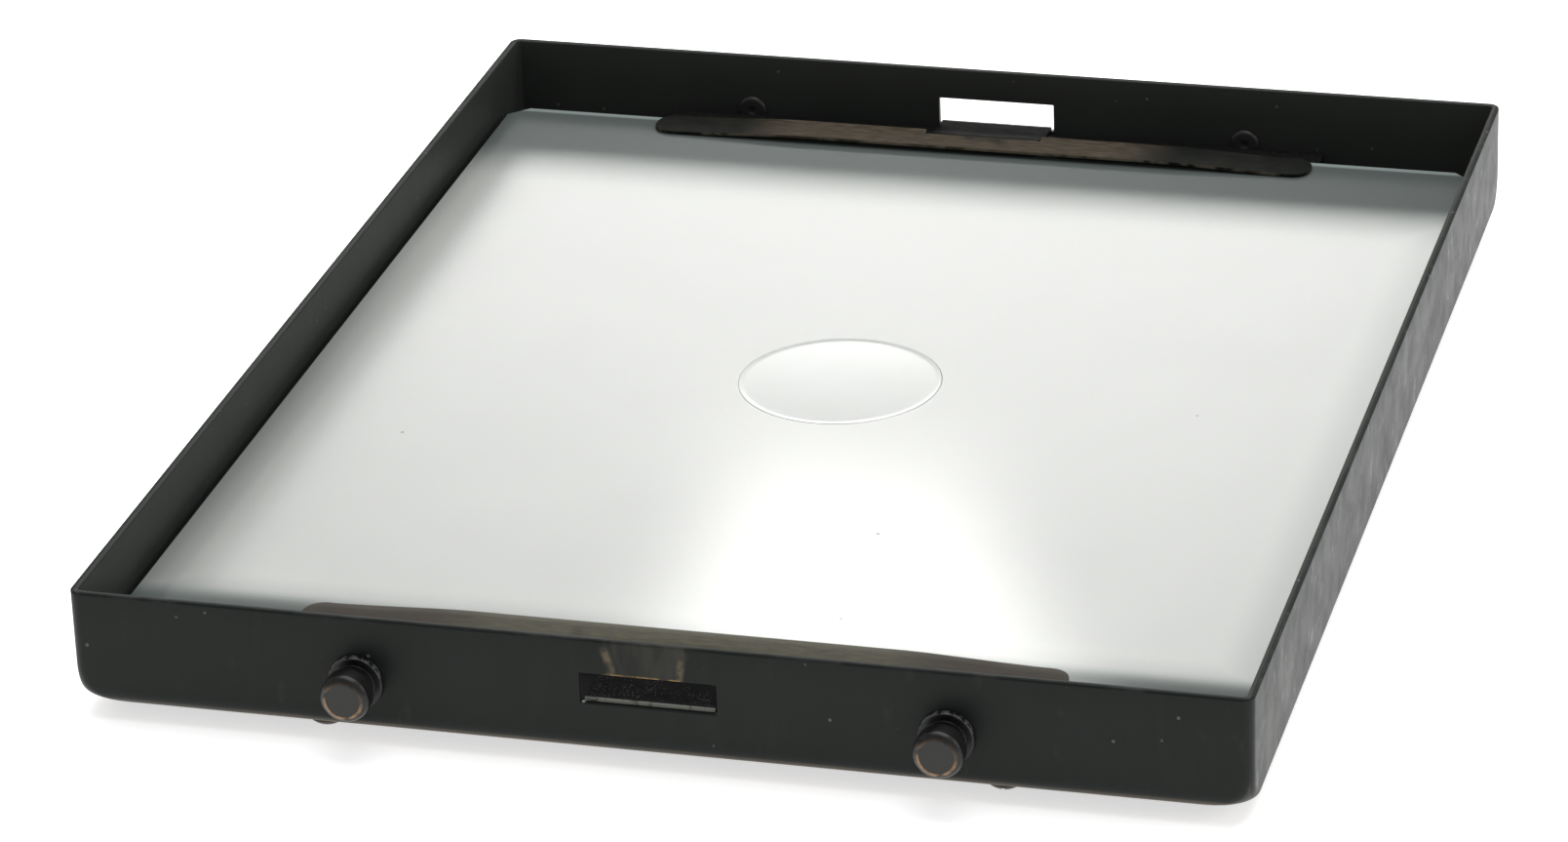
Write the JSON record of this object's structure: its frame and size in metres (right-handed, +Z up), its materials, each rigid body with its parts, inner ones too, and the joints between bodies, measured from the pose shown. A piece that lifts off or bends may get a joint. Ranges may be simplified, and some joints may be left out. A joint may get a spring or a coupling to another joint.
{
  "type": "focusing screen cassette",
  "caption": "Shallow black metal tray holding a frosted viewing glass with a round central spot over a Fresnel plate, kept in by leaf springs at both ends, with locating studs.",
  "frame": {"origin": "under the middle of the tray, in the plane of the four screw heads that it stands on", "axes": "+X across the tray to the right, +Y along the tray to the rear, +Z up out of the open side"},
  "size_m": [0.076, 0.102, 0.0089],
  "materials": {
    "black_lacquer": "satin black lacquer on brass sheet, worn to the metal on edges",
    "fresnel_plastic": "clear acrylic with fine concentric grooves",
    "frosted_glass": "glossy upper face, finely ground lower face",
    "clear_spot": "polished low dome",
    "black_rail": "rough matt black",
    "bronze_spring": "blackened spring bronze, rubbed brown",
    "blackened_stud": "blackened brass, rubbed bright on the edge of the head",
    "screw_steel": "darkened steel"
  },
  "bodies": {
    "cassette": {"tray_frame": "black_lacquer", "fresnel_plate": "fresnel_plastic", "ground_glass": "frosted_glass", "focusing_spot": "clear_spot", "front_rail": "black_rail", "rear_rail": "black_rail", "front_left_stud": "blackened_stud", "front_right_stud": "blackened_stud", "rear_left_stud": "blackened_stud", "rear_right_stud": "blackened_stud", "front_left_screw": "screw_steel", "front_right_screw": "screw_steel", "rear_left_screw": "screw_steel", "rear_right_screw": "screw_steel"},
    "front_spring": {"front_leaf_spring": "bronze_spring"},
    "rear_spring": {"rear_leaf_spring": "bronze_spring"}
  },
  "joints": [
    {"name": "front_spring_lift", "type": "hinge", "parent": "cassette", "child": "front_spring", "pos_m": [0, -0.04768, 0.00461], "axis": [1, 0, 0], "range_deg": [0, 8], "stiffness_Nm_per_rad": 0.02, "springref_deg": -5.73},
    {"name": "rear_spring_lift", "type": "hinge", "parent": "cassette", "child": "rear_spring", "pos_m": [0, 0.04768, 0.00461], "axis": [-1, 0, 0], "range_deg": [0, 10], "stiffness_Nm_per_rad": 0.02, "springref_deg": -5.73}
  ]
}
